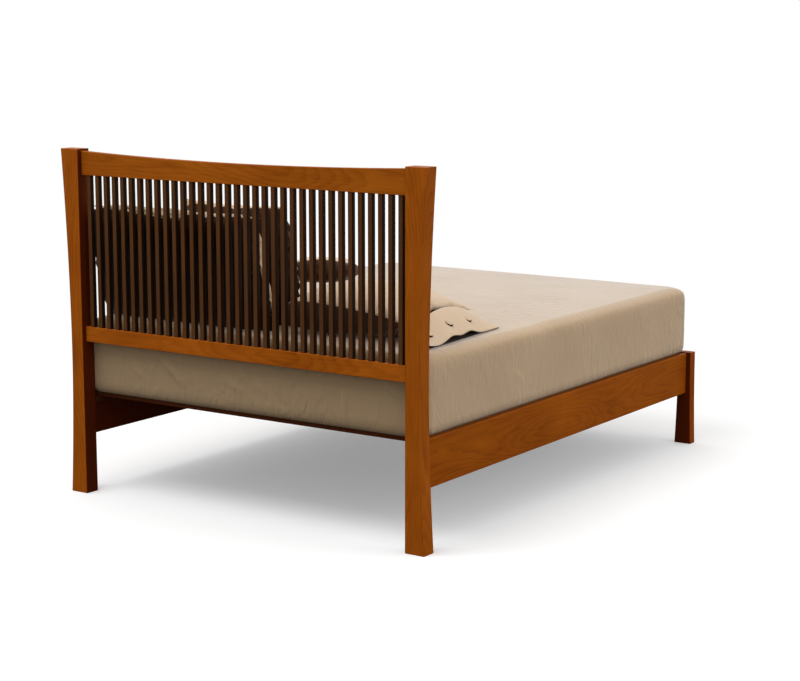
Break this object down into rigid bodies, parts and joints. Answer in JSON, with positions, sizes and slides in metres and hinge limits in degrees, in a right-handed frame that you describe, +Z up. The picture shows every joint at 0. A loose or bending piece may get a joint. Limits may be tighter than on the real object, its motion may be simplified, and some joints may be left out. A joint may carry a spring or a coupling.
{
  "type": "spindle headboard bed",
  "caption": "Platform bed with a dished spindle headboard, flared posts, side rails on slat cleats, a mattress in a fitted cover and loose pillows.",
  "frame": {"origin": "on the floor, under the middle of the bed's overall length and width", "axes": "+Z up, +Y along the bed towards the headboard, +X to the left-hand side of someone lying on their back"},
  "size_m": [1.668, 2.1476, 1.34],
  "materials": {
    "cherry": "satin clear lacquer on warm cherry",
    "walnut": "satin clear lacquer on dark walnut",
    "slat_wood": "planed, unfinished hardwood",
    "mattress_cover": "soft beige knitted cover",
    "brown_pillow_cloth": "dark brown woven cotton",
    "beige_pillow_cloth": "beige brushed cotton"
  },
  "bodies": {
    "frame": {"head_post_left": "cherry", "head_post_right": "cherry", "crest_rail": "cherry", "lower_head_rail": "cherry", "foot_post_left": "cherry", "foot_post_right": "cherry", "foot_rail": "cherry", "side_rail_left": "cherry", "side_rail_right": "cherry", "spindle_01": "walnut", "spindle_02": "walnut", "spindle_03": "walnut", "spindle_04": "walnut", "spindle_05": "walnut", "spindle_06": "walnut", "spindle_07": "walnut", "spindle_08": "walnut", "spindle_09": "walnut", "spindle_10": "walnut", "spindle_11": "walnut", "spindle_12": "walnut", "spindle_13": "walnut", "spindle_14": "walnut", "spindle_15": "walnut", "spindle_16": "walnut", "spindle_17": "walnut", "spindle_18": "walnut", "spindle_19": "walnut", "spindle_20": "walnut", "spindle_21": "walnut", "spindle_22": "walnut", "spindle_23": "walnut", "spindle_24": "walnut", "spindle_25": "walnut", "spindle_26": "walnut", "spindle_27": "walnut", "spindle_28": "walnut", "spindle_29": "walnut", "spindle_30": "walnut", "spindle_31": "walnut", "spindle_32": "walnut", "spindle_33": "walnut", "spindle_34": "walnut", "spindle_35": "walnut", "slat_cleat_left": "slat_wood", "slat_cleat_right": "slat_wood", "slat_1": "slat_wood", "slat_2": "slat_wood", "slat_3": "slat_wood", "slat_4": "slat_wood", "slat_5": "slat_wood", "slat_6": "slat_wood", "slat_7": "slat_wood", "slat_8": "slat_wood", "slat_9": "slat_wood"},
    "mattress": {"mattress": "mattress_cover"},
    "long_pillow": {"long_pillow": "brown_pillow_cloth"},
    "square_pillow": {"square_pillow": "brown_pillow_cloth"},
    "sham": {"button_sham": "beige_pillow_cloth"},
    "throw_pillow": {"throw_pillow": "brown_pillow_cloth"}
  },
  "joints": [
    {"name": "mattress_lift", "type": "slide", "parent": "frame", "child": "mattress", "axis": [0, 0, 1], "range_m": [0, 0.3]},
    {"name": "long_pillow_lift", "type": "slide", "parent": "mattress", "child": "long_pillow", "axis": [0, 0, 1], "range_m": [0, 0.25]},
    {"name": "square_pillow_lift", "type": "slide", "parent": "long_pillow", "child": "square_pillow", "axis": [0, 0.2419, 0.9703], "range_m": [0, 0.25]},
    {"name": "sham_lift", "type": "slide", "parent": "mattress", "child": "sham", "axis": [0, 0, 1], "range_m": [0, 0.25]},
    {"name": "throw_pillow_lift", "type": "slide", "parent": "sham", "child": "throw_pillow", "axis": [0, 0, 1], "range_m": [0, 0.25]}
  ]
}
